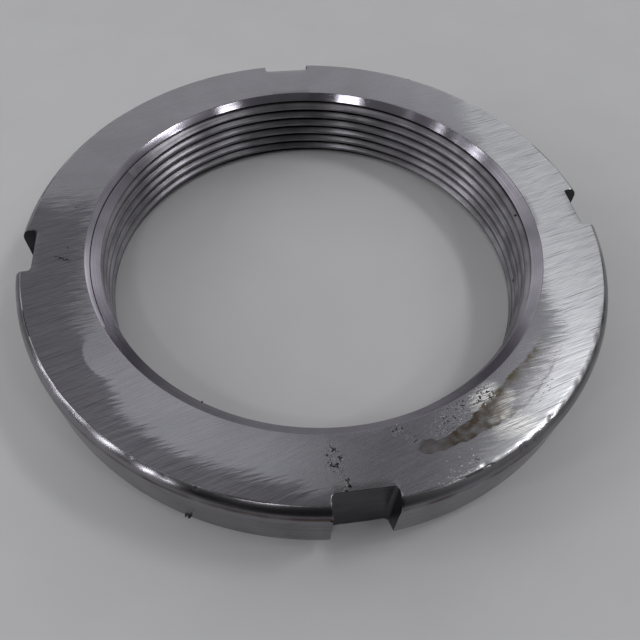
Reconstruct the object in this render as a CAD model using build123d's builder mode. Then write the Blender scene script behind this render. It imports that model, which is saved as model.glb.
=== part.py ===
from build123d import *
from math import asin, degrees
import os

# Bearing lock nut, turned and milled in steel. It rests on its bearing face
# at z = 0, and one of its spanner slots is centred on +X.
inch = 25.4

# Thread, 3.137-12. The bore is cut to the thread's minor diameter.
thread_major_dia = 3.137 * inch
threads_per_inch = 12

# Ring
outside_dia = 4.157 * inch
thickness = 0.584 * inch

# Bore mouths, both at 45 degrees. Each opens wider than the thread.
front_mouth_over_major = 1.15
back_mouth_over_major = 0.25

# Outer edges. The front corner is turned round, then the ground front face
# cuts it short. The back has a broad 45 degree bevel round the bearing face.
corner_radius = 2.5
corner_height = 2.2
bevel_height = 0.148 * inch

# Spanner slots, open at both faces
slot_count = 4
slot_width = 0.375 * inch
slot_depth = 0.125 * inch
slot_corner_radius = 0.7
cutter_reach_past_rim = 3.0

pitch = inch / threads_per_inch
major_radius = thread_major_dia / 2
thread_depth_in_pitches = 0.541266  # of any internal 60 degree thread
bore_radius = major_radius - thread_depth_in_pitches * pitch
front_mouth_radius = major_radius + front_mouth_over_major
back_mouth_radius = major_radius + back_mouth_over_major
front_mouth_depth = front_mouth_radius - bore_radius
back_mouth_depth = back_mouth_radius - bore_radius
outer_radius = outside_dia / 2
bearing_face_radius = outer_radius - bevel_height
slot_floor = outer_radius - slot_depth

with BuildPart() as lock_nut:
    # Half section of the ring, radius along X and height along Z
    with BuildSketch(Plane.XZ) as section:
        with BuildLine() as outline:
            front_corner = JernArc(
                start=(outer_radius, thickness - corner_height),
                tangent=(0, 1),
                radius=corner_radius,
                arc_size=degrees(asin(corner_height / corner_radius)),
            )
            Polyline(
                front_corner @ 1,
                (front_mouth_radius, thickness),
                (bore_radius, thickness - front_mouth_depth),
                (bore_radius, back_mouth_depth),
                (back_mouth_radius, 0),
                (bearing_face_radius, 0),
                (outer_radius, bevel_height),
                front_corner @ 0,
            )
        make_face()
    revolve(axis=Axis.Z)

    # Slots, milled right through from the rim with a small end mill radius
    # where the walls meet the floor
    with BuildSketch() as slots:
        with PolarLocations(slot_floor, slot_count):
            Rectangle(
                slot_depth + cutter_reach_past_rim,
                slot_width,
                align=(Align.MIN, Align.CENTER),
            )
        floor_corners = slots.vertices().filter_by(
            lambda v: Vector(v.X, v.Y).length < outer_radius
        )
        fillet(floor_corners, slot_corner_radius)
    extrude(amount=thickness, mode=Mode.SUBTRACT)

lock_nut.part.label = "lock_nut"

os.makedirs("parts", exist_ok=True)
export_step(lock_nut.part, "parts/lock_nut.step")
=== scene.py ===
import math
import random

import bmesh
import bpy
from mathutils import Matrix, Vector, noise


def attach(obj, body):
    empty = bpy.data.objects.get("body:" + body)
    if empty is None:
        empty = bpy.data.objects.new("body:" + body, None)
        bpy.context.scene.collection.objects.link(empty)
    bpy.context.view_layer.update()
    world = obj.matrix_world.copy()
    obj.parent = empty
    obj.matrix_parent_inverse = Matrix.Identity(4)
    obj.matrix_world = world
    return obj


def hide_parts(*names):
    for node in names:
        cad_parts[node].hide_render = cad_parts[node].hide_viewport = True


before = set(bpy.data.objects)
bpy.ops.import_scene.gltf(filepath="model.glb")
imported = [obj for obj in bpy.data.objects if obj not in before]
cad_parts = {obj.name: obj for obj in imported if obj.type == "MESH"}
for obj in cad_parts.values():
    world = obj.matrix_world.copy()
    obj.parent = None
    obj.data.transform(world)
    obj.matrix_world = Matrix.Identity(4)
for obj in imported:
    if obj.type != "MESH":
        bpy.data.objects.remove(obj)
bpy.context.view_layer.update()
scene = bpy.context.scene
mm = 0.001
inch = 25.4   # mm
print("frame loaded:", ", ".join(sorted(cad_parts)))


def hexColour(text):
    # sRGB hex to the linear values that shader sockets take
    channels = [int(text[i:i + 2], 16) / 255 for i in (1, 3, 5)]
    return tuple(c / 12.92 if c <= 0.04045 else ((c + 0.055) / 1.055) ** 2.4 for c in channels) + (1.0,)


def addNode(tree, kind, inputs=None, **settings):
    # settings are the node's own; an input takes a value, a socket, or a node's first live output
    node = tree.nodes.new("ShaderNode" + kind)
    for name, value in settings.items():
        setattr(node, name, value)
    for name, value in (inputs or {}).items():
        if isinstance(name, int):
            socket = node.inputs[name]
        else:
            socket = next(s for s in node.inputs if s.enabled and s.name == name)
        if isinstance(value, bpy.types.Node):
            value = next(out for out in value.outputs if out.enabled)
        if isinstance(value, bpy.types.NodeSocket):
            tree.links.new(value, socket)
        else:
            socket.default_value = value
    return node


nut = {   # mm, the same sizes as the CAD source
    "rimRadius": 4.157 * inch / 2,
    "thickness": 0.584 * inch,
    "rootRadius": 3.137 * inch / 2,   # major radius of the 3.137-12 thread
    "pitch": inch / 12,
    "threadDepth": 0.541266,  # in pitches
    "flankReach": 0.485,      # in pitches; 0.5 would be a sharp root, and the tap's nose was nearly a point
    "crestAngle": 72.65,      # degrees round at which a crest lies crestDrop below the front face
    "crestDrop": 2.485,
    "mouthFront": 1.15,       # how much wider than the thread each mouth opens
    "mouthBack": 0.25,
    "mouthSmooth": (1.2, 150),   # how deep they are smooth, and from how many degrees round all the way
    "cornerRadius": 2.5,      # turned corner on the front rim, cut short by the ground face
    "cornerHeight": 2.2,
    "bevel": 0.148 * inch,
    "slotWidth": 0.375 * inch,
    "slotDepth": 0.125 * inch,
    "slotCorner": 0.7,        # the cutter's radius, where slot floors meet their walls
    "brokenEdge": 0.08,       # crisp edges are worn this far
    "threadEdge": 0.05,
    # the first turn ends in a hairline up the mouth: degrees from and to, half width, depth, fade in degrees
    "runOut": (140, 206, 0.07, 0.10, 12),
    "faceRows": (42.5, 44.0, 45.5, 47.0, 48.4),   # radii of the mesh's rows on the front face
    "edgeRows": (50.85, 51.15),
    "bevelRows": (52.2, 51.6, 51.1),
    "backRows": (47.0, 44.6, 42.2),
    "cornerSteps": 10,
    "rimSteps": 7,
    "slotCornerSteps": 6,
    "arcColumns": 170,        # mesh columns between two slots
    "floorColumns": 20,       # and across one slot's floor
}

wear = {   # what handling has done to the edges, in mm and in degrees round from +X towards +Y
    "seed": 5,
    "wobble": 0.03,           # how far slot edges stray from true
    "rubbedRim": (286, 336),  # the front corner is worn over between these
    "rubbedStart": (51.1, 0.5),   # radius where that begins, and how raggedly
    "rubbedWaves": 0.45,      # waves of that raggedness per degree, so each is about 2 mm long
    "rubbedSlope": 0.2,       # how steeply it falls, most in the middle of that stretch
    # dents: degrees round, radius, height below the front face, reach, depth
    "dents": [(297.4, 52.0, 0.5, 0.9, 0.25), (300.6, 52.1, 0.5, 0.8, 0.20), (289.8, 51.5, 0.1, 0.7, 0.07),
              (305.0, 51.6, 0.1, 0.6, 0.10), (238.4, 51.6, 0.0, 0.6, 0.06), (232.0, 51.5, 0.0, 0.6, 0.05),
              (243.7, 51.6, 0.0, 0.7, 0.08), (326.0, 51.6, 0.1, 0.6, 0.08), (58.0, 51.6, 0.2, 0.6, 0.08)],
    "blow": (0.75, 0.66),     # inward and downward parts of the dents' direction
    # burrs: degrees round, radius, height below the front face, degrees it leans, length, width
    "burrs": [(241.8, 52.7, 10.3, -20, 0.6, 0.8), (241.1, 52.7, 10.6, -35, 0.5, 0.6),
              (236.0, 38.9, 2.0, 20, 0.15, 0.25), (243.7, 51.5, 0.1, 25, 0.3, 0.4),
              (264.6, 52.7, 2.4, 5, 0.25, 0.6)],
    # a burr's rings: how far along it, share of its width, half thickness in mm, how far it has bent
    "burrRings": [(-0.2, 1.0, 0.10, 0.0), (0.35, 0.8, 0.07, 0.10), (0.7, 0.45, 0.05, 0.28),
                  (1.0, 0.12, 0.03, 0.5)],
}

groundFace, turned, cutThread, milled, wornEdge, mouth = range(6)   # material slots, filled in this order


def threadWave(nut):
    # one pitch of the 60 degree thread, as (distance from a crest's middle, depth below the crest)
    pitch, edge = nut["pitch"], nut["threadEdge"]
    crest, root = pitch / 8, nut["flankReach"] * pitch
    half = [(crest - edge, 0), (crest + edge / 2, math.cos(math.radians(30)) * edge),
            (root, (root - crest) * math.tan(math.radians(60)))]
    return half + [(pitch - u, d) for u, d in reversed(half)]


def addRunOut(nut, points, around, frontCone):
    # cuts the hairline into one bore line, where the cone is wide enough to hold it
    start, end, half, deep, fade = nut["runOut"]
    if not start < around < end:
        return points
    turns = (around - nut["crestAngle"]) / 360 + 0.5
    root = nut["thickness"] - nut["crestDrop"] + nut["pitch"] * turns
    deep *= min(1.0, (end - around) / fade)
    clear = [point for point in points if abs(point[1] - root) > half]
    if not all(z < root or abs(r - frontCone(z)) < 1e-6 for r, z in clear):
        return points
    notch = [(frontCone(root + half), root + half), (frontCone(root) + deep, root),
             (frontCone(root - half), root - half)]
    return sorted(clear + notch, key=lambda point: -point[1])


def boreLine(nut, angle):
    # (radius, z) down the bore at one angle: the deeper of the thread and the two mouth cones
    top, pitch = nut["thickness"], nut["pitch"]
    wave = threadWave(nut)
    crestRadius = nut["rootRadius"] - nut["threadDepth"] * pitch
    frontRadius = nut["rootRadius"] + nut["mouthFront"]
    backRadius = nut["rootRadius"] + nut["mouthBack"]

    def frontCone(z):
        return frontRadius - (top - z)

    def backCone(z):
        return backRadius - z

    crest = top - nut["crestDrop"] + pitch * (angle - nut["crestAngle"]) / 360
    crest += pitch * math.ceil((top + pitch - crest) / pitch)
    line = []
    while crest > -pitch:
        line += [(crestRadius + d, crest - u) for u, d in wave]
        crest -= pitch
    points = [(frontRadius, top)]
    for (r1, z1), (r2, z2) in zip(line, line[1:]):
        for cone in (frontCone, backCone):
            a, b = r1 - cone(z1), r2 - cone(z2)
            if a * b < 0 and 0 < z1 and z2 < top:
                z = z1 + (z2 - z1) * a / (a - b)
                if 0 < z < top:
                    points.append((cone(z), z))
        if 0 < z2 < top and r2 > frontCone(z2) and r2 > backCone(z2):
            points.append((r2, z2))
    points.append((backRadius, 0))
    points = addRunOut(nut, points, angle % 360, frontCone)
    leastGap = 0.02
    kept = points[:1]
    for point in points[1:-1]:
        if kept[-1][1] - point[1] > leastGap and point[1] > leastGap:
            kept.append(point)
    return kept + points[-1:]


def outsideSection(nut, meetRadius, bearing):
    # (radius, z) from the slots' depth on the front face, over the rim, to the same depth on the back bevel
    top, rim, corner = nut["thickness"], nut["rimRadius"], nut["cornerRadius"]
    turn = math.degrees(math.asin(nut["cornerHeight"] / corner))
    section = [(meetRadius, top)] + [(r, top) for r in nut["edgeRows"]]
    steps = nut["cornerSteps"]
    for i in range(steps + 1):
        a = math.radians(turn * (steps - i) / steps)
        section.append((rim - corner * (1 - math.cos(a)), top - nut["cornerHeight"] + corner * math.sin(a)))
    steps = nut["rimSteps"]
    for i in range(1, steps + 1):
        drop = (nut["bevel"] - top + nut["cornerHeight"]) * i / steps
        section.append((rim, top - nut["cornerHeight"] + drop))
    return section + [(r, r - bearing) for r in nut["bevelRows"] + (meetRadius,)]


def slotOutline(nut, floorX, halfSlot):
    # a slot's root from one wall to the other, in the slot's own x and y
    corner, steps, across = nut["slotCorner"], nut["slotCornerSteps"], nut["floorColumns"]
    rounded = []
    for i in range(1, steps):
        a = math.radians(90 * i / steps)
        rounded.append((floorX + corner - corner * math.sin(a), -halfSlot + corner - corner * math.cos(a)))
    flat = [(floorX, (halfSlot - corner) * (2 * i / across - 1)) for i in range(across + 1)]
    return rounded + flat + [(x, -y) for x, y in reversed(rounded)]


def knit(mesh, a, b):
    # joins two neighbouring bore lines, which need not have the same number of points
    i, j = 0, 0
    ended, sameHeight = -9, 0.012
    while i < len(a) - 1 or j < len(b) - 1:
        za = a[i + 1].co.z if i < len(a) - 1 else ended
        zb = b[j + 1].co.z if j < len(b) - 1 else ended
        if abs(za - zb) < sameHeight:
            face = mesh.faces.new([a[i], b[j], b[j + 1], a[i + 1]])
            i, j = i + 1, j + 1
        elif za > zb:
            face = mesh.faces.new([a[i], b[j], a[i + 1]])
            i += 1
        else:
            face = mesh.faces.new([a[i], b[j], b[j + 1]])
            j += 1
        face.material_index = cutThread


def wearDown(columns, wear, top):
    # slot edges stray from true, the front corner is rubbed over at the right, and blows have dented it
    chance = random.Random(wear["seed"])
    rubbedFrom, rubbedTo = wear["rubbedRim"]
    startRadius, raggedness = wear["rubbedStart"]
    for column in columns:
        if column["wall"]:
            for spot in column["middle"][3:]:
                stray = chance.uniform(-1, 1) * wear["wobble"] / spot.co.xy.length
                spot.co.xy = (spot.co.x - spot.co.y * stray, spot.co.y + spot.co.x * stray)
        if column["worn"]:
            start = startRadius + noise.noise((column["angle"] * wear["rubbedWaves"], 0, 0)) * raggedness
            along = (column["angle"] % 360 - rubbedFrom) / (rubbedTo - rubbedFrom)
            slope = wear["rubbedSlope"] * math.sin(math.pi * along) ** 0.5
            for spot in column["middle"][2:8]:
                spot.co.z = min(spot.co.z, top - max(0, spot.co.xy.length - start) * slope)
    blowIn, blowDown = wear["blow"]
    for around, radius, below, reach, depth in wear["dents"]:
        a = math.radians(around)
        struck = Vector((radius * math.cos(a), radius * math.sin(a), top - below))
        inward = Vector((-blowIn * math.cos(a), -blowIn * math.sin(a), -blowDown))
        for column in columns:
            for spot in column["middle"]:
                near = 1 - (spot.co - struck).length_squared / reach ** 2
                if near > 0:
                    spot.co += inward * depth * near ** 2


def addBurr(mesh, wear, burr, top):
    # a thin bent flake of metal that still hangs on its edge
    around, radius, below, lean, length, width = burr
    a, tilt = math.radians(around), math.radians(lean)
    foot = Vector((radius * math.cos(a), radius * math.sin(a), top - below))
    out = Vector((math.cos(a) * math.cos(tilt), math.sin(a) * math.cos(tilt), math.sin(tilt)))
    side = Vector((-math.sin(a), math.cos(a), 0))
    rise = out.cross(side)
    rings = []
    for along, wide, thick, bend in wear["burrRings"]:
        middle = foot + out * along * length + rise * bend * length
        rings.append([mesh.verts.new(middle + side * u * wide * width / 2 + rise * v * thick)
                      for u, v in ((-1, -1), (1, -1), (1, 1), (-1, 1))])
    for near, far in zip(rings, rings[1:]):
        for k in range(4):
            face = mesh.faces.new([near[k], near[(k + 1) % 4], far[(k + 1) % 4], far[k]])
            face.material_index = milled
    for ring in (rings[0][::-1], rings[-1]):
        mesh.faces.new(ring).material_index = milled


def buildNut(nut, wear):
    mesh = bmesh.new()
    top, rim = nut["thickness"], nut["rimRadius"]
    bearing = rim - nut["bevel"]
    halfSlot, corner = nut["slotWidth"] / 2, nut["slotCorner"]
    floorX = rim - nut["slotDepth"]
    meetRadius = math.hypot(floorX + corner, halfSlot)   # where a slot wall starts
    meetAngle = math.degrees(math.atan2(halfSlot, floorX + corner))
    frontMouth = nut["rootRadius"] + nut["mouthFront"]
    faceRows = (frontMouth,) + nut["faceRows"]
    backRows = (bearing,) + nut["backRows"] + (nut["rootRadius"] + nut["mouthBack"],)
    section = outsideSection(nut, meetRadius, bearing)
    outline = slotOutline(nut, floorX, halfSlot)
    rubbedFrom, rubbedTo = wear["rubbedRim"]

    def vert(radius, angle, z):
        a = math.radians(angle)
        return mesh.verts.new((radius * math.cos(a), radius * math.sin(a), z))

    columns = []   # arc columns go over the rim; the others stand in a slot's root
    for quarter in range(4):
        for i in range(nut["arcColumns"] + 1):
            t = i / nut["arcColumns"]
            middle = []
            for r, z in section:
                edge = math.degrees(math.asin(halfSlot / r))
                middle.append(vert(r, quarter * 90 + edge + (90 - 2 * edge) * t, z))
            columns.append({"angle": quarter * 90 + meetAngle + (90 - 2 * meetAngle) * t, "middle": middle,
                            "arc": True, "wall": i in (0, nut["arcColumns"])})
        for i, (x, y) in enumerate(outline):
            r, a = math.hypot(x, y), (quarter + 1) * 90 + math.degrees(math.atan2(y, x))
            even = (quarter + 1) * 90 + meetAngle * (2 * (i + 1) / (len(outline) + 1) - 1)   # for the bore
            columns.append({"angle": even, "middle": [vert(r, a, top), vert(r, a, r - bearing)],
                            "arc": False, "wall": False})
    for column in columns:
        a = column["angle"]
        column["worn"] = column["arc"] and rubbedFrom < a % 360 < rubbedTo
        column["face"] = [vert(r, a, top) for r in faceRows]
        column["back"] = [vert(r, a, r - bearing if r == bearing else 0) for r in backRows]
        line = boreLine(nut, a)
        column["bore"] = [column["face"][0]] + [vert(r, a, z) for r, z in line[1:-1]] + [column["back"][-1]]

    frontLevel = top - 1e-6
    for n, left in enumerate(columns):
        right = columns[(n + 1) % len(columns)]
        if left["arc"] and right["arc"] and not (left["wall"] and right["wall"]):
            chains = [c["face"] + c["middle"] + c["back"] for c in (left, right)]
        else:
            chains = [c["face"] + [c["middle"][0], c["middle"][-1]] + c["back"] for c in (left, right)]
        for i in range(len(chains[0]) - 1):
            zs = [c[k].co.z for c in chains for k in (i, i + 1)]
            face = mesh.faces.new([chains[0][i], chains[1][i], chains[1][i + 1], chains[0][i + 1]])
            if min(zs) > frontLevel:
                face.material_index = groundFace
            elif left["worn"] and right["worn"] and min(zs) > top - 0.4:
                face.material_index = wornEdge
            elif max(zs) > frontLevel and not (left["arc"] and right["arc"]):
                face.material_index = milled
            else:
                face.material_index = turned
        if left["wall"]:
            mesh.faces.new(left["middle"]).material_index = milled
        knit(mesh, left["bore"], right["bore"])
    bmesh.ops.recalc_face_normals(mesh, faces=mesh.faces)
    wearDown(columns, wear, top)

    crisp = []
    for edge in mesh.edges:
        sides = edge.link_faces
        if len(sides) == 2 and sides[0].normal.angle(sides[1].normal) > math.radians(22):
            if not all(f.material_index == cutThread for f in sides):
                crisp.append(edge)
    bmesh.ops.bevel(mesh, geom=crisp, offset=nut["brokenEdge"], segments=2, affect="EDGES", profile=0.5,
                    material=wornEdge)
    smoothDepth, smoothFrom = nut["mouthSmooth"]
    for face in mesh.faces:
        face.smooth = True
        middle = face.calc_center_median()
        around = math.degrees(math.atan2(middle.y, middle.x)) % 360
        finelyTurned = min(middle.z, top - middle.z) < smoothDepth or around > smoothFrom
        onCone = 0.65 < abs(face.normal.z) < 0.78 and finelyTurned   # the mouths slope at 45 degrees
        if middle.xy.length < frontMouth + 0.1:
            if face.material_index == wornEdge or face.material_index == cutThread and onCone:
                face.material_index = mouth
        ahead = abs(max(middle.x, -middle.x, middle.y, -middle.y, key=abs))
        if face.material_index == wornEdge and middle.z > top - 0.12 and 48 < ahead < floorX + 0.1:
            face.material_index = milled   # the slot floors' front edges are still sharp
    for burr in wear["burrs"]:
        addBurr(mesh, wear, burr, top)
    mesh.normal_update()
    for edge in mesh.edges:
        sides = edge.link_faces
        if len(sides) == 2:
            mouthEnd = {f.material_index for f in sides} == {cutThread, mouth}   # the thread ends on a cone
            edge.smooth = not (mouthEnd or sides[0].normal.angle(sides[1].normal) > math.radians(35))
    bmesh.ops.scale(mesh, vec=(mm, mm, mm), verts=mesh.verts)

    data = bpy.data.meshes.new("lockNut")
    mesh.to_mesh(data)
    mesh.free()
    piece = bpy.data.objects.new("lockNut", data)
    scene.collection.objects.link(piece)
    even = piece.modifiers.new("evenShading", "WEIGHTED_NORMAL")
    even.keep_sharp = True
    return piece


lockNut = buildNut(nut, wear)
print("nut built:", len(lockNut.data.polygons), "faces")


def emptyMaterial(name):
    material = bpy.data.materials.new(name)
    material.use_nodes = True
    tree = material.node_tree
    tree.nodes.clear()
    return material, tree


def nearestSpot(tree, where, spots, blend):
    # how far the surface lies from the nearest of some oval spots, 1 at their outlines
    nearest = None
    for x, y, long, wide, angle in spots:
        place = {"Vector": where, "Location": (x * mm, y * mm, 0), "Rotation": (0, 0, math.radians(angle)),
                 "Scale": (long * mm, wide * mm, 1)}
        placed = addNode(tree, "Mapping", place, vector_type="TEXTURE")
        far = addNode(tree, "VectorMath", {0: placed}, operation="LENGTH")
        if nearest is None:
            nearest = far
        else:
            nearest = addNode(tree, "Math", {0: nearest, 1: far, 2: blend}, operation="SMOOTH_MIN")
    return nearest


def drawnGrain(tree, where, stroke, shift, grain):
    # noise drawn out one way: direction in degrees, length and width of a stroke in mm
    angle, length, width = stroke
    place = {"Vector": where, "Location": (0, 0, shift), "Rotation": (0, 0, math.radians(angle)),
             "Scale": (length * mm, width * mm, 1)}
    drawn = addNode(tree, "Mapping", place, vector_type="TEXTURE")
    return addNode(tree, "TexNoise", {"Vector": drawn, "Scale": 1.0, **grain})


faceFinish = {   # medium carbon steel, the face ground and then rubbed by hand with emery cloth
    "steel": "#919198",          # clean ground metal
    "tarnish": "#828187",        # where handling has dulled it
    "sheenedScratch": "#BCBDBF",          # the crests of new scratches, shown far more on the right side as painted sheen
    "glint": "#F4F2EE",          # painted glint: near white, on the rubbed patches and on nicks
    "leftShade": "#5E5C62",         # painted shade darkening the left side, most between the scratches
    "scored": "#4C4A51",         # the bottoms of the deepest scratches
    "oil": "#52473B",            # a dried film of oil
    "oilEdge": "#3A2E24",
    "oilOlive": "#544C30",       # the broad line along its inner side
    "rust": "#26201F",
    "roughness": 0.30,
    "rubbedRoughness": 0.38,
    "anisotropy": (0.8, 0.3),    # on the right side and on the left
    # sizes of the patterns in mm
    "sway": (35.714, 3.5),       # the scratches bend once in this length, and so far
    "clouds": 7.692,             # patches where handling has dulled the metal
    "stainRagged": 1.4286,       # the wavy outline of the oil
    "stainBlotches": 1.6129,
    "pinholeGap": 0.33333,
    "pitSize": 0.45455,
    # strokes of the cloth: direction in degrees, length and width of a scratch in mm, strength
    "strokes": [(15, 9, 0.12, 0.60), (11, 16, 0.22, 0.12), (20, 6, 0.10, 0.55), (-24, 7, 0.13, 0.18),
                (38, 5, 0.13, 0.14)],
    "deepStrokes": (16, 14, 0.16),
    "endStrokes": (7, 6, 0.3),   # where single strokes end, along the rubbed sides' outlines
    # outlines of the rubbed sides: a line's outward x and y, and its distance from the middle in mm
    "rubbedRight": [(1, 0, 36.5), (0.74, -0.675, 45.0)],
    "rubbedLeft": [(-0.911, -0.411, 44.2), (-0.656, -0.755, 47.7), (-0.386, -0.922, 47.9)],
    "leftCorner": (-40.0, 12.0, 0.35),   # the left side is rubbed beyond this x and below this y, how sharply
    "leftAlone": [(-36.4, -23.6, 2.6, 4.6, 30)],   # a spot in there that it left alone, given as below
    "raggedness": (12, 7),       # mm, how far single strokes run past those lines, right and left
    "softness": (2.2, 0.9),      # mm, half the width over which a stroke fades out there
    # spots: middle x and y, half length and half width in mm, direction in degrees
    # rubbed patches, where a painted glint lies on the scratch crests
    "rubbedGlintPatches": [(23.8, -42.9, 3.6, 1.5, 14), (20.4, -37.6, 3.0, 1.3, 38), (26.0, -44.9, 4.5, 0.7, 32),
                     (22.9, -39.8, 3.2, 1.3, 50)],
    # spots of the stain: degrees round and radius of the middle, half length along the ring, half width
    "stain": [(283.0, 45.7, 1.7, 1.25), (286.6, 46.1, 2.8, 0.95), (290.6, 46.0, 3.2, 1.3),
              (295.5, 45.7, 3.6, 1.7), (299.5, 45.6, 4.4, 2.2), (304.0, 45.5, 5.4, 2.5),
              (309.0, 45.2, 5.6, 2.45), (314.0, 45.2, 5.2, 2.2), (318.0, 45.2, 3.4, 2.0),
              (322.5, 45.1, 4.0, 2.0)],
    "stainOlive": ((45.9, 44.7), (17, 23)),   # the olive line: from and to radius, from and to x
    "stainThick": (11.5, 14.5),  # x over which the film thickens behind its lower end
    "stainThin": (20, 26),       # and x over which it thins again
    "stainEnd": (-37, -31),      # mm along the ring, where it fades out
    # pitted spots: as above, and how thickly the pits lie
    "pits": [(-3.5, -44.9, 1.3, 2.5, 8, 1.0), (-2.6, -48.4, 0.9, 1.7, 10, 0.9),
             (6.3, -41.6, 1.0, 0.8, 30, 0.95), (8.2, -43.0, 0.9, 1.0, 30, 0.8),
             (15.2, -40.0, 4.6, 1.9, 32, 0.8), (12.6, -42.0, 1.6, 0.9, 60, 0.7),
             (20.4, -37.4, 2.6, 1.4, 38, 0.85), (-44.4, -2.8, 1.6, 0.35, -25, 0.95),
             (-43.5, -0.3, 0.7, 0.3, -30, 0.95), (-41.0, -0.9, 0.5, 0.9, 0, 0.8),
             (-40.6, 4.0, 0.3, 0.9, 0, 0.7), (-43.3, 9.7, 0.7, 0.3, 0, 0.9),
             (16.8, -47.3, 0.8, 0.5, 30, 0.9), (14.4, -49.7, 2.2, 0.5, 18, 0.9),
             (23.9, -46.4, 0.9, 0.6, 30, 1.0), (30.5, -37.5, 2.4, 0.5, 48, 0.5)],
    # painted glints, tiny bright dots on nicks, given the same way
    "nickGlints": [(13.4, -49.6, 4.2, 0.5, 15, 0.9), (13.8, -47.8, 3.5, 1.6, 15, 0.2),
               (20.4, -37.4, 2.6, 1.4, 38, 0.4)],
}


def rubbedSides(tree, finish, where, xyz, swayed, patch):
    # how much the cloth bit, on the right side and on the left, with single strokes past their outlines
    ends = drawnGrain(tree, swayed, finish["endStrokes"], 0, {"Detail": 3.0, "Roughness": 0.65})
    cornerX, cornerY, sharp = finish["leftCorner"]
    leftX = addNode(tree, "Math", {0: xyz.outputs["X"], 1: -sharp / mm, 2: sharp * cornerX},
                    operation="MULTIPLY_ADD")
    leftY = addNode(tree, "Math", {0: xyz.outputs["Y"], 1: -sharp / mm, 2: sharp * cornerY},
                    operation="MULTIPLY_ADD")
    besideLeft = addNode(tree, "Math", {0: leftX, 1: leftY, 2: 4.0}, operation="SMOOTH_MIN")
    inPatch = addNode(tree, "Math", {0: patch, 1: -5.0, 2: 5.0}, operation="MULTIPLY_ADD")
    sides = []
    starts = ((finish["rubbedRight"], inPatch), (finish["rubbedLeft"], besideLeft))
    for (lines, reach), ragged, soft in zip(starts, finish["raggedness"], finish["softness"]):
        for nx, ny, offset in lines:   # metal on the far side of any of these lines
            acrossX = addNode(tree, "Math", {0: xyz.outputs["X"], 1: nx / mm}, operation="MULTIPLY")
            across = addNode(tree, "Math", {0: xyz.outputs["Y"], 1: ny / mm, 2: acrossX},
                             operation="MULTIPLY_ADD")
            beyond = addNode(tree, "Math", {0: across, 1: offset}, operation="SUBTRACT")
            reach = addNode(tree, "Math", {0: reach, 1: beyond, 2: 1.0}, operation="SMOOTH_MAX")
        jagged = addNode(tree, "Math", {0: ends, 1: ragged, 2: reach}, operation="MULTIPLY_ADD")
        fading = {"Value": jagged, "From Min": ragged / 2 - soft, "From Max": ragged / 2 + soft}
        sides.append(addNode(tree, "MapRange", fading, interpolation_type="SMOOTHSTEP"))
    aloneSpot = nearestSpot(tree, where, finish["leftAlone"], 0)
    alone = addNode(tree, "Math", {0: ends, 1: 0.5, 2: aloneSpot}, operation="MULTIPLY_ADD")
    outside = addNode(tree, "MapRange", {"Value": alone, "From Min": 1.2, "From Max": 1.3})
    sides[1] = addNode(tree, "Math", {0: sides[1], 1: outside}, operation="MULTIPLY")
    return sides


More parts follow.
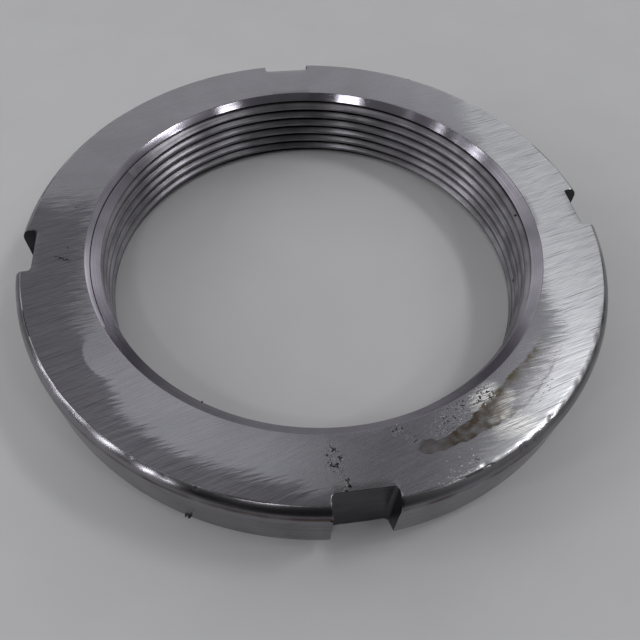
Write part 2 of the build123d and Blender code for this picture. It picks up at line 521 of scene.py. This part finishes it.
def driedOil(tree, finish, where, xyz, bare):
    # the oil dried from its edge inwards, thick at the lower end and thin along the rest
    ring = finish["stain"][0][1]
    turn = addNode(tree, "Math", {0: xyz.outputs["Y"], 1: xyz.outputs["X"]}, operation="ARCTAN2")
    along = addNode(tree, "Math", {0: turn, 1: ring * mm}, operation="MULTIPLY")
    flat = addNode(tree, "VectorMath", {0: where, 1: (1, 1, 0)}, operation="MULTIPLY")
    radius = addNode(tree, "VectorMath", {0: flat}, operation="LENGTH")
    rolledOut = addNode(tree, "CombineXYZ", {"X": along, "Y": radius})
    spots = [(math.radians(a - 360) * ring, r, long, wide, 0) for a, r, long, wide in finish["stain"]]
    edgeNoise = addNode(tree, "TexNoise", {"Vector": where, "Scale": 1 / (finish["stainRagged"] * mm),
                                           "Detail": 4.0, "Roughness": 0.6})
    far = nearestSpot(tree, rolledOut, spots, 0.5)
    wavy = addNode(tree, "Math", {0: edgeNoise, 1: 0.6, 2: far}, operation="MULTIPLY_ADD")
    inside = addNode(tree, "MapRange", {"Value": wavy, "From Min": 1.26, "From Max": 1.16})

    (outer, inner), (oliveFrom, oliveTo) = finish["stainOlive"]
    innerSide = addNode(tree, "MapRange", {"Value": radius, "From Min": outer * mm, "From Max": inner * mm})
    fromBlob = addNode(tree, "MapRange", {"Value": xyz.outputs["X"], "From Min": oliveFrom * mm,
                                          "From Max": oliveTo * mm})
    olive = addNode(tree, "Math", {0: innerSide, 1: fromBlob}, operation="MULTIPLY")
    edgeDepth = addNode(tree, "MapRange", {"Value": olive, "To Min": 1.06, "To Max": 0.6})
    core = addNode(tree, "MapRange", {"Value": wavy, "From Min": 1.2, "From Max": edgeDepth})

    thickFrom, thickTo = finish["stainThick"]
    blob = addNode(tree, "MapRange", {"Value": xyz.outputs["X"], "From Min": thickFrom * mm,
                                      "From Max": thickTo * mm, "To Min": 0.6, "To Max": 1.0})
    thinFrom, thinTo = finish["stainThin"]
    thin = addNode(tree, "MapRange", {"Value": xyz.outputs["X"], "From Min": thinFrom * mm,
                                      "From Max": thinTo * mm, "To Min": 0.95, "To Max": 0.2})
    thick = addNode(tree, "Math", {0: blob, 1: thin}, operation="MULTIPLY")
    gone, whole = finish["stainEnd"]
    ending = addNode(tree, "MapRange", {"Value": along, "From Min": gone * mm, "From Max": whole * mm,
                                        "To Min": 1.0, "To Max": 0.0})
    blotch = addNode(tree, "TexNoise", {"Vector": where, "Scale": 1 / (finish["stainBlotches"] * mm),
                                        "Detail": 3.0})
    spread = addNode(tree, "MapRange", {"Value": blotch, "From Min": 0.35, "From Max": 0.6,
                                        "To Min": 0.35, "To Max": 1.0})
    strength = addNode(tree, "Math", {0: thick, 1: spread}, operation="MULTIPLY")
    covering = addNode(tree, "Math", {0: inside, 1: strength}, operation="MULTIPLY")
    film = addNode(tree, "Math", {0: covering, 1: ending}, operation="MULTIPLY")

    rim = addNode(tree, "Math", {0: inside, 1: core}, operation="SUBTRACT", use_clamp=True)
    rimDepth = addNode(tree, "MapRange", {"Value": olive, "To Min": 0.6, "To Max": 1.0})
    rimPart = addNode(tree, "Math", {0: rim, 1: rimDepth}, operation="MULTIPLY")
    rimEnding = addNode(tree, "Math", {0: rimPart, 1: ending}, operation="MULTIPLY")
    rimShown = addNode(tree, "Math", {0: rimEnding, 1: spread}, operation="MULTIPLY")
    rimColour = addNode(tree, "Mix", {"Factor": olive, "A": hexColour(finish["oilEdge"]),
                                      "B": hexColour(finish["oilOlive"])}, data_type="RGBA")
    filmed = addNode(tree, "Mix", {"Factor": film, "A": bare, "B": hexColour(finish["oil"])},
                     data_type="RGBA")
    return addNode(tree, "Mix", {"Factor": rimShown, "A": filmed, "B": rimColour}, data_type="RGBA")


def pitsAndGlints(tree, finish, where):
    # how rusted a point is, and where painted glints lie: pinholes and larger pits, thick in the named spots
    crowds = []
    for spots in (finish["pits"], finish["nickGlints"]):
        crowd = None
        for *oval, thickness in spots:
            far = nearestSpot(tree, where, [oval], 0)
            near = addNode(tree, "MapRange", {"Value": far, "From Min": 1.3, "From Max": 0.8,
                                              "To Max": thickness})
            crowd = near if crowd is None else addNode(tree, "Math", {0: crowd, 1: near}, operation="MAXIMUM")
        crowds.append(crowd)
    pitted, glintCrowd = crowds
    dots = addNode(tree, "TexVoronoi", {"Vector": where, "Scale": 1 / (finish["pinholeGap"] * mm)})
    draw = addNode(tree, "SeparateColor", {"Color": dots.outputs["Color"]})
    pinhole = addNode(tree, "MapRange", {"Value": dots.outputs["Distance"], "From Min": 0.36,
                                         "From Max": 0.22})
    holed = addNode(tree, "Math", {0: draw.outputs["Red"], 1: pitted}, operation="LESS_THAN")
    small = addNode(tree, "Math", {0: holed, 1: pinhole}, operation="MULTIPLY")
    faint = addNode(tree, "Math", {0: small, 1: 0.75}, operation="MULTIPLY")
    pitGrain = addNode(tree, "TexNoise", {"Vector": where, "Scale": 1 / (finish["pitSize"] * mm),
                                          "Detail": 2.0, "Roughness": 0.6})
    pitLevel = addNode(tree, "Math", {0: pitted, 1: 0.35, 2: pitGrain}, operation="MULTIPLY_ADD")
    large = addNode(tree, "MapRange", {"Value": pitLevel, "From Min": 0.87, "From Max": 0.91})
    pits = addNode(tree, "Math", {0: faint, 1: large}, operation="MAXIMUM")
    speck = addNode(tree, "MapRange", {"Value": dots.outputs["Distance"], "From Min": 0.38,
                                       "From Max": 0.2})
    chosen = addNode(tree, "Math", {0: draw.outputs["Green"], 1: glintCrowd}, operation="LESS_THAN")
    return pits, addNode(tree, "Math", {0: chosen, 1: speck}, operation="MULTIPLY")


def linishedSteel(finish):
    # straight fine scratches that catch light from the side, streaky where the cloth was lifted
    material, tree = emptyMaterial("linishedSteel")
    where = addNode(tree, "TexCoord").outputs["Object"]
    xyz = addNode(tree, "SeparateXYZ", {"Vector": where})
    bendLength, bendWidth = finish["sway"]
    sway = addNode(tree, "TexNoise", {"Vector": where, "Scale": 1 / (bendLength * mm), "Detail": 1.0})
    centred = addNode(tree, "VectorMath", {0: sway.outputs["Color"], 1: (0.5, 0.5, 0.5)},
                      operation="SUBTRACT")
    bend = addNode(tree, "VectorMath", {0: centred, "Scale": bendWidth * mm}, operation="SCALE")
    swayed = addNode(tree, "VectorMath", {0: where, 1: bend}, operation="ADD")

    scratches = None
    for n, (angle, length, width, strength) in enumerate(finish["strokes"]):
        grain = drawnGrain(tree, swayed, (angle, length, width), n * 0.37, {"Detail": 2.0, "Roughness": 0.6})
        part = addNode(tree, "Math", {0: grain, 1: strength}, operation="MULTIPLY")
        if scratches is None:
            scratches = part
        else:
            scratches = addNode(tree, "Math", {0: scratches, 1: part}, operation="ADD")
    total = sum(stroke[3] for stroke in finish["strokes"])
    streaks = addNode(tree, "MapRange", {"Value": scratches, "From Min": 0.42 * total,
                                         "From Max": 0.58 * total})
    crests = addNode(tree, "MapRange", {"Value": scratches, "From Min": 0.46 * total,
                                        "From Max": 0.58 * total})
    deep = drawnGrain(tree, swayed, finish["deepStrokes"], 3.1, {"Detail": 1.0})
    brightest = addNode(tree, "MapRange", {"Value": deep, "From Min": 0.66, "From Max": 0.74})
    scores = addNode(tree, "MapRange", {"Value": deep, "From Min": 0.34, "From Max": 0.29})

    patch = nearestSpot(tree, where, finish["rubbedGlintPatches"], 0.1)
    right, left = rubbedSides(tree, finish, where, xyz, swayed, patch)
    rubbed = addNode(tree, "Math", {0: right, 1: left}, operation="MAXIMUM")

    cloud = addNode(tree, "TexNoise", {"Vector": where, "Scale": 1 / (finish["clouds"] * mm), "Detail": 3.0})
    clouding = addNode(tree, "MapRange", {"Value": cloud, "From Min": 0.35, "From Max": 0.65,
                                          "To Min": 0.0, "To Max": 0.4})
    clean = addNode(tree, "Mix", {"Factor": clouding, "A": hexColour(finish["steel"]),
                                  "B": hexColour(finish["tarnish"])}, data_type="RGBA")
    brightLines = addNode(tree, "Math", {0: streaks, 1: brightest}, operation="MAXIMUM")
    # painted sheen: the scratch crests show far more on the right side, where light catches them
    depth = addNode(tree, "MapRange", {"Value": right, "To Min": 0.12, "To Max": 0.9})
    sheenShowing = addNode(tree, "Math", {0: brightLines, 1: depth}, operation="MULTIPLY")
    cut = addNode(tree, "Mix", {"Factor": sheenShowing, "A": clean, "B": hexColour(finish["sheenedScratch"])},
                  data_type="RGBA")
    # painted glint: near-white scratch crests on those patches
    patchy = addNode(tree, "MapRange", {"Value": patch, "From Min": 1.25, "From Max": 0.55})
    glinting = addNode(tree, "Math", {0: patchy, 1: crests}, operation="MULTIPLY")
    lit = addNode(tree, "Mix", {"Factor": glinting, "A": cut, "B": hexColour(finish["glint"])},
                  data_type="RGBA")
    # painted shade: the left side darkened, most between the scratches
    leftShadeDepth = addNode(tree, "MapRange", {"Value": streaks, "From Min": 1.0, "From Max": 0.0,
                                           "To Min": 0.6, "To Max": 1.0})
    leftShaded = addNode(tree, "Math", {0: leftShadeDepth, 1: left}, operation="MULTIPLY")
    leftShade = addNode(tree, "Mix", {"Factor": leftShaded, "A": lit, "B": hexColour(finish["leftShade"])},
                     data_type="RGBA")
    scored = addNode(tree, "Math", {0: scores, 1: rubbed}, operation="MULTIPLY")
    bare = addNode(tree, "Mix", {"Factor": scored, "A": leftShade, "B": hexColour(finish["scored"])},
                   data_type="RGBA")

    stained = driedOil(tree, finish, where, xyz, bare)
    pits, glintDots = pitsAndGlints(tree, finish, where)
    # painted glints: tiny near-white dots on the nicks
    glintDotted = addNode(tree, "Mix", {"Factor": glintDots, "A": stained, "B": hexColour(finish["glint"])},
                           data_type="RGBA")
    colour = addNode(tree, "Mix", {"Factor": pits, "A": glintDotted, "B": hexColour(finish["rust"])},
                     data_type="RGBA")

    rougher = finish["rubbedRoughness"] - finish["roughness"]
    rubbedRough = addNode(tree, "Math", {0: rubbed, 1: rougher, 2: finish["roughness"]},
                          operation="MULTIPLY_ADD")
    streaky = addNode(tree, "Math", {0: streaks, 1: -0.08, 2: rubbedRough}, operation="MULTIPLY_ADD")
    roughness = addNode(tree, "Math", {0: pits, 1: 0.4, 2: streaky}, operation="MULTIPLY_ADD")
    alongRight, alongLeft = finish["anisotropy"]
    directionalLeft = addNode(tree, "Math", {0: left, 1: alongLeft}, operation="MULTIPLY")
    directional = addNode(tree, "Math", {0: right, 1: alongRight, 2: directionalLeft},
                          operation="MULTIPLY_ADD", use_clamp=True)
    # the scratches fan out: their slope is 11 degrees in the middle and grows to the right
    slope = addNode(tree, "Math", {0: xyz.outputs["X"], 1: 2.3, 2: math.tan(math.radians(11))},
                    operation="MULTIPLY_ADD")
    back = addNode(tree, "Math", {0: slope, 1: -1.0}, operation="MULTIPLY")
    tangent = addNode(tree, "CombineXYZ", {"X": back, "Y": 1.0})   # across the scratches
    groove = addNode(tree, "Math", {0: pits, 1: -2.0, 2: scratches}, operation="MULTIPLY_ADD")
    bump = addNode(tree, "Bump", {"Height": groove, "Strength": 0.5, "Distance": 0.02 * mm})
    shader = addNode(tree, "BsdfPrincipled", {
        "Base Color": colour, "Metallic": 1.0, "Roughness": roughness, "Anisotropic": directional,
        "Tangent": tangent, "Normal": bump})
    addNode(tree, "OutputMaterial", {"Surface": shader})
    return material


turnedFinishes = [   # the same steel as the lathe and the mill left it; ring is the tool marks' spacing in mm
    {"name": "turnedSteel",   # rim, bevel and bearing face
     "steel": "#86858B", "dull": "#757378", "roughness": 0.24, "anisotropy": 0.85,
     "ring": 0.25, "groove": 0.4, "chatter": 0.0,
     "floorReflectionLine": (1.95, 0.3, "#46322A")},   # painted reflection of the shaded floor, a brown line where the corner meets the rim: mm down, half width
    {"name": "cutThreadSteel",
     "steel": "#8C8A90", "dull": "#646267", "roughness": 0.36, "anisotropy": 0.8,
     "ring": 0.22, "groove": 0.5, "chatter": 0.2,
     "rootShade": (39.35, 39.7, "#2C2A2C"),   # painted shade in the thread roots: from and to radius in mm
     # specks of rust: x, y, z and size in mm
     "specks": [(39.2, 1.1, 12.5, 0.35), (39.1, -0.6, 10.8, 0.2), (38.4, -8.0, 4.2, 0.6),
                (38.0, -8.6, 3.0, 0.35), (36.4, 14.8, 7.5, 0.3)],
     "rust": "#2E1E14"},
    {"name": "milledSteel",   # slots, a darker steel than the rest
     "steel": "#464448", "dull": "#363538", "roughness": 0.36, "anisotropy": 0.3,
     "ring": 0.5, "groove": 0.6, "chatter": 0.0},
    {"name": "wornEdgeSteel",   # broken edges, polished by handling
     "steel": "#B5B4B8", "dull": "#565459", "roughness": 0.25, "anisotropy": 0.0,
     "ring": 0.3, "groove": 0.5, "chatter": 0.5},
    {"name": "fineTurnedSteel",   # the bore mouths, nearly mirror bright
     "steel": "#928F98", "dull": "#7E7B84", "roughness": 0.17, "anisotropy": 0.8,
     "ring": 0.2, "groove": 0.1, "chatter": 0.1},
]


def turnedSteel(finish):
    # fine rings round the axis from the tool's feed, so highlights smear along the section
    material, tree = emptyMaterial(finish["name"])
    where = addNode(tree, "TexCoord").outputs["Object"]
    flat = addNode(tree, "VectorMath", {0: where, 1: (1, 1, 0)}, operation="MULTIPLY")
    radius = addNode(tree, "VectorMath", {0: flat}, operation="LENGTH").outputs["Value"]
    xyz = addNode(tree, "SeparateXYZ", {"Vector": where})
    section = addNode(tree, "Math", {0: radius, 1: 0.4, 2: xyz.outputs["Z"]}, operation="MULTIPLY_ADD")
    feed = addNode(tree, "Math", {0: section, 1: finish["ring"] * mm},
                   operation="DIVIDE")   # a real feed is near 0.1 mm, drawn coarser to show
    ringLength = 40 * mm   # one tool mark keeps its depth for about this far round
    roundX = addNode(tree, "Math", {0: xyz.outputs["X"], 1: 1 / ringLength}, operation="MULTIPLY")
    roundY = addNode(tree, "Math", {0: xyz.outputs["Y"], 1: 1 / ringLength}, operation="MULTIPLY")
    ringed = addNode(tree, "CombineXYZ", {"X": roundX, "Y": roundY, "Z": feed})
    rings = addNode(tree, "TexNoise", {"Vector": ringed, "Scale": 1.0, "Detail": 3.0, "Roughness": 0.6})
    cloud = addNode(tree, "TexNoise", {"Vector": where, "Scale": 1 / (6.25 * mm), "Detail": 4.0})
    blend = addNode(tree, "Math", {0: rings, 1: cloud}, operation="ADD")
    dulled = addNode(tree, "MapRange", {"Value": blend, "From Min": 0.8, "From Max": 1.2})
    colour = addNode(tree, "Mix", {"Factor": dulled, "A": hexColour(finish["steel"]),
                                   "B": hexColour(finish["dull"])}, data_type="RGBA")
    if "rootShade" in finish:
        # painted shade: the thread roots darkened, where shade falls
        start, end, shade = finish["rootShade"]
        reach = addNode(tree, "MapRange", {"Value": radius, "From Min": start * mm, "From Max": end * mm})
        trueNormal = addNode(tree, "NewGeometry").outputs["True Normal"]
        facing = addNode(tree, "SeparateXYZ", {"Vector": trueNormal})
        steepness = addNode(tree, "Math", {0: facing.outputs["Z"]}, operation="ABSOLUTE")
        # the painted shade goes on the flanks, which lie flatter than the mouths' 45 degree cones; the cones
        # get none
        onFlank = addNode(tree, "MapRange", {"Value": steepness, "From Min": 0.76, "From Max": 0.82})
        deep = addNode(tree, "Math", {0: reach, 1: onFlank}, operation="MULTIPLY")
        colour = addNode(tree, "Mix", {"Factor": deep, "A": colour, "B": hexColour(shade)}, data_type="RGBA")
    if "floorReflectionLine" in finish:
        # painted reflection: a brown line where the corner meets the rim
        below, half, shade = finish["floorReflectionLine"]
        off = addNode(tree, "Math", {0: xyz.outputs["Z"], 1: (nut["thickness"] - below) * mm},
                      operation="SUBTRACT")
        away = addNode(tree, "Math", {0: off}, operation="ABSOLUTE")
        line = addNode(tree, "MapRange", {"Value": away, "From Min": half * 2 * mm, "From Max": half * mm})
        patchy = addNode(tree, "MapRange", {"Value": cloud, "From Min": 0.4, "From Max": 0.6,
                                            "To Min": 0.15, "To Max": 0.9})
        shown = addNode(tree, "Math", {0: line, 1: patchy}, operation="MULTIPLY")
        colour = addNode(tree, "Mix", {"Factor": shown, "A": colour, "B": hexColour(shade)}, data_type="RGBA")
    if "specks" in finish:
        frayed = addNode(tree, "TexNoise", {"Vector": where, "Scale": 1 / (0.66667 * mm), "Detail": 2.0})
        for x, y, z, size in finish["specks"]:
            far = addNode(tree, "VectorMath", {0: where, 1: (x * mm, y * mm, z * mm)}, operation="DISTANCE")
            torn = addNode(tree, "Math", {0: frayed, 1: size * mm, 2: far.outputs["Value"]},
                           operation="MULTIPLY_ADD")
            spot = addNode(tree, "MapRange", {"Value": torn, "From Min": 1.5 * size * mm,
                                              "From Max": 1.1 * size * mm})
            colour = addNode(tree, "Mix", {"Factor": spot, "A": colour, "B": hexColour(finish["rust"])},
                             data_type="RGBA")
    roughness = addNode(tree, "MapRange", {
        "Value": blend, "From Min": 0.7, "From Max": 1.3,
        "To Min": finish["roughness"] - 0.05, "To Max": finish["roughness"] + 0.05})
    chatterMarks = addNode(tree, "TexNoise", {"Vector": flat, "Scale": 1 / (1.1111 * mm), "Detail": 1.0})
    height = addNode(tree, "Math", {0: chatterMarks, 1: finish["chatter"] * 4, 2: rings},
                     operation="MULTIPLY_ADD")
    bump = addNode(tree, "Bump", {"Height": height, "Strength": finish["groove"], "Distance": 0.01 * mm})
    around = addNode(tree, "Tangent", direction_type="RADIAL", axis="Z")
    shader = addNode(tree, "BsdfPrincipled", {
        "Base Color": colour, "Metallic": 1.0, "Roughness": roughness, "Anisotropic": finish["anisotropy"],
        "Anisotropic Rotation": 0.25, "Tangent": around, "Normal": bump})
    addNode(tree, "OutputMaterial", {"Surface": shader})
    return material


lockNut.data.materials.append(linishedSteel(faceFinish))
for finish in turnedFinishes:
    lockNut.data.materials.append(turnedSteel(finish))
print("materials made:", ", ".join(m.name for m in lockNut.data.materials))

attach(lockNut, "root")
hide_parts("lock_nut")

studio = {
    "floorColour": "#C6C6C8",   # a matt painted board
    "floorMottle": "#BDBDC0",
    "mottleSize": 16.667,       # mm
    "floorRoughness": 0.6,
    "floorSize": 3.0,
    "floorFront": -0.085,       # the board's near edge, just outside the picture
    "backdrop": "#B9B9BC",
    # soft light of the room: azimuth from +X towards +Y and elevation in degrees, narrowness, strength
    "glow": [
        (36, 6, 9, 0.58), (72, 6, 9, 0.39), (108, 6, 9, 0.69), (324, 6, 9, 0.35),   # walls
        (0, 90, 9, 0.06), (103, 54, 9, 0.10), (206, 54, 9, 0.20), (309, 54, 9, 0.14),   # ceiling
        (30, 40, 40, 0.54), (60, 20, 40, 1.18), (60, 40, 40, 0.24), (90, 40, 40, 0.42),   # windows behind
        (120, 20, 40, 0.40), (120, 40, 40, 0.28), (150, 30, 40, 1.34),
        (5, 46, 80, 0.25), (40, 54, 80, 0.61), (350, 54, 80, 0.90),   # bright ceiling panels
    ],
    # lamps: azimuth and elevation as above, distance, width and height in metres, power in watts
    "lamps": {
        "lampFront": (243, 56, 0.9, 0.115, 0.08, 0.45),
        "lampRightFront": (317, 51, 0.9, 0.10, 0.08, 0.35),
        "lampRight": (346, 42, 0.9, 0.085, 0.09, 0.28),
        "lampLeftFar": (168, 40, 0.9, 0.072, 0.06, 0.12),
        "lampLeft": (179, 44, 0.9, 0.03, 0.04, 0.014),
        "lampLeftNear": (189, 47, 0.9, 0.042, 0.06, 0.075),
        "lampLeftFront": (206, 51, 0.9, 0.03, 0.04, 0.012),
        "lampOver": (7, 55, 0.9, 0.2, 0.09, 1.05),
        "lampSide": (176, 35, 0.9, 0.2, 0.16, 0.38),
        "lampAbove": (135, 70, 0.35, 0.2, 0.2, 0.08),
        "paneFar": (171, 21, 0.9, 0.035, 0.30, 0.32),   # panes of a tall window at the left
        "paneMiddle": (180, 21, 0.9, 0.035, 0.30, 0.32),
        "paneLeft": (188.5, 22, 0.9, 0.02, 0.16, 0.2),
        "paneNear": (199, 22, 0.9, 0.07, 0.34, 0.8),
        "paneFront": (214.5, 15, 0.9, 0.03, 0.24, 0.54),
        "paneLast": (221, 14, 0.9, 0.02, 0.16, 0.18),
    },
}


def direction(azimuth, elevation):
    a, e = math.radians(azimuth), math.radians(elevation)
    return Vector((math.cos(a) * math.cos(e), math.sin(a) * math.cos(e), math.sin(e)))


floorMesh = bpy.data.meshes.new("floor")
half, front = studio["floorSize"] / 2, studio["floorFront"]
corners = [(-half, front, 0), (half, front, 0), (half, half, 0), (-half, half, 0)]
floorMesh.from_pydata(corners, [], [(0, 1, 2, 3)])
floor = bpy.data.objects.new("floor", floorMesh)
scene.collection.objects.link(floor)
floorMaterial, tree = emptyMaterial("paintedBoard")   # faint mottling of a rolled coat of paint
where = addNode(tree, "TexCoord").outputs["Object"]
mottle = addNode(tree, "TexNoise", {"Vector": where, "Scale": 1 / (studio["mottleSize"] * mm), "Detail": 5.0})
board = addNode(tree, "Mix", {"Factor": mottle, "A": hexColour(studio["floorColour"]),
                              "B": hexColour(studio["floorMottle"])}, data_type="RGBA")
shader = addNode(tree, "BsdfPrincipled", {"Base Color": board, "Roughness": studio["floorRoughness"]})
addNode(tree, "OutputMaterial", {"Surface": shader})
floorMesh.materials.append(floorMaterial)

for name, (azimuth, elevation, distance, width, height, power) in studio["lamps"].items():
    towards = direction(azimuth, elevation)
    light = bpy.data.lights.new(name, "AREA")
    light.shape = "RECTANGLE"
    light.size, light.size_y = width, height
    light.energy = power
    lightObject = bpy.data.objects.new(name, light)
    lightObject.location = towards * distance
    lightObject.rotation_euler = towards.to_track_quat("Z", "Y").to_euler()
    scene.collection.objects.link(lightObject)

world = bpy.data.worlds.new("room")
scene.world = world
world.use_nodes = True
tree = world.node_tree
tree.nodes.clear()
looking = addNode(tree, "TexCoord").outputs["Generated"]
room = 0.0
for azimuth, elevation, narrowness, strength in studio["glow"]:
    facing = addNode(tree, "VectorMath", {0: looking, 1: direction(azimuth, elevation)},
                     operation="DOT_PRODUCT")
    falling = addNode(tree, "Math", {0: facing, 1: narrowness, 2: -narrowness}, operation="MULTIPLY_ADD")
    glow = addNode(tree, "Math", {0: falling}, operation="EXPONENT")
    room = addNode(tree, "Math", {0: glow, 1: strength, 2: room}, operation="MULTIPLY_ADD")
ray = addNode(tree, "LightPath").outputs["Is Camera Ray"]
grey = addNode(tree, "CombineXYZ", {"X": room, "Y": room, "Z": room})
shown = addNode(tree, "Mix", {"Factor": ray, "A": grey, "B": hexColour(studio["backdrop"])}, data_type="RGBA")
background = addNode(tree, "Background", {"Color": shown, "Strength": 1.0})
addNode(tree, "OutputWorld", {"Surface": background})
print("studio set")

view = {   # the photograph's camera: mm and degrees, lens for a 36 mm sensor at 640 by 640
    "place": (-12.7746, -77.5853, 95.9032),
    "turn": (35.46275, -1.83149, -7.98489),
    "lens": 34.373,
}
camera = bpy.data.cameras.new("camera")
camera.lens = view["lens"]
camera.sensor_width = 36
camera.clip_start, camera.clip_end = 0.01, 20
cameraObject = bpy.data.objects.new("camera", camera)
cameraObject.location = Vector(view["place"]) * mm
cameraObject.rotation_euler = [math.radians(a) for a in view["turn"]]
scene.collection.objects.link(cameraObject)
scene.camera = cameraObject
scene.view_settings.view_transform = "Standard"

print("done")
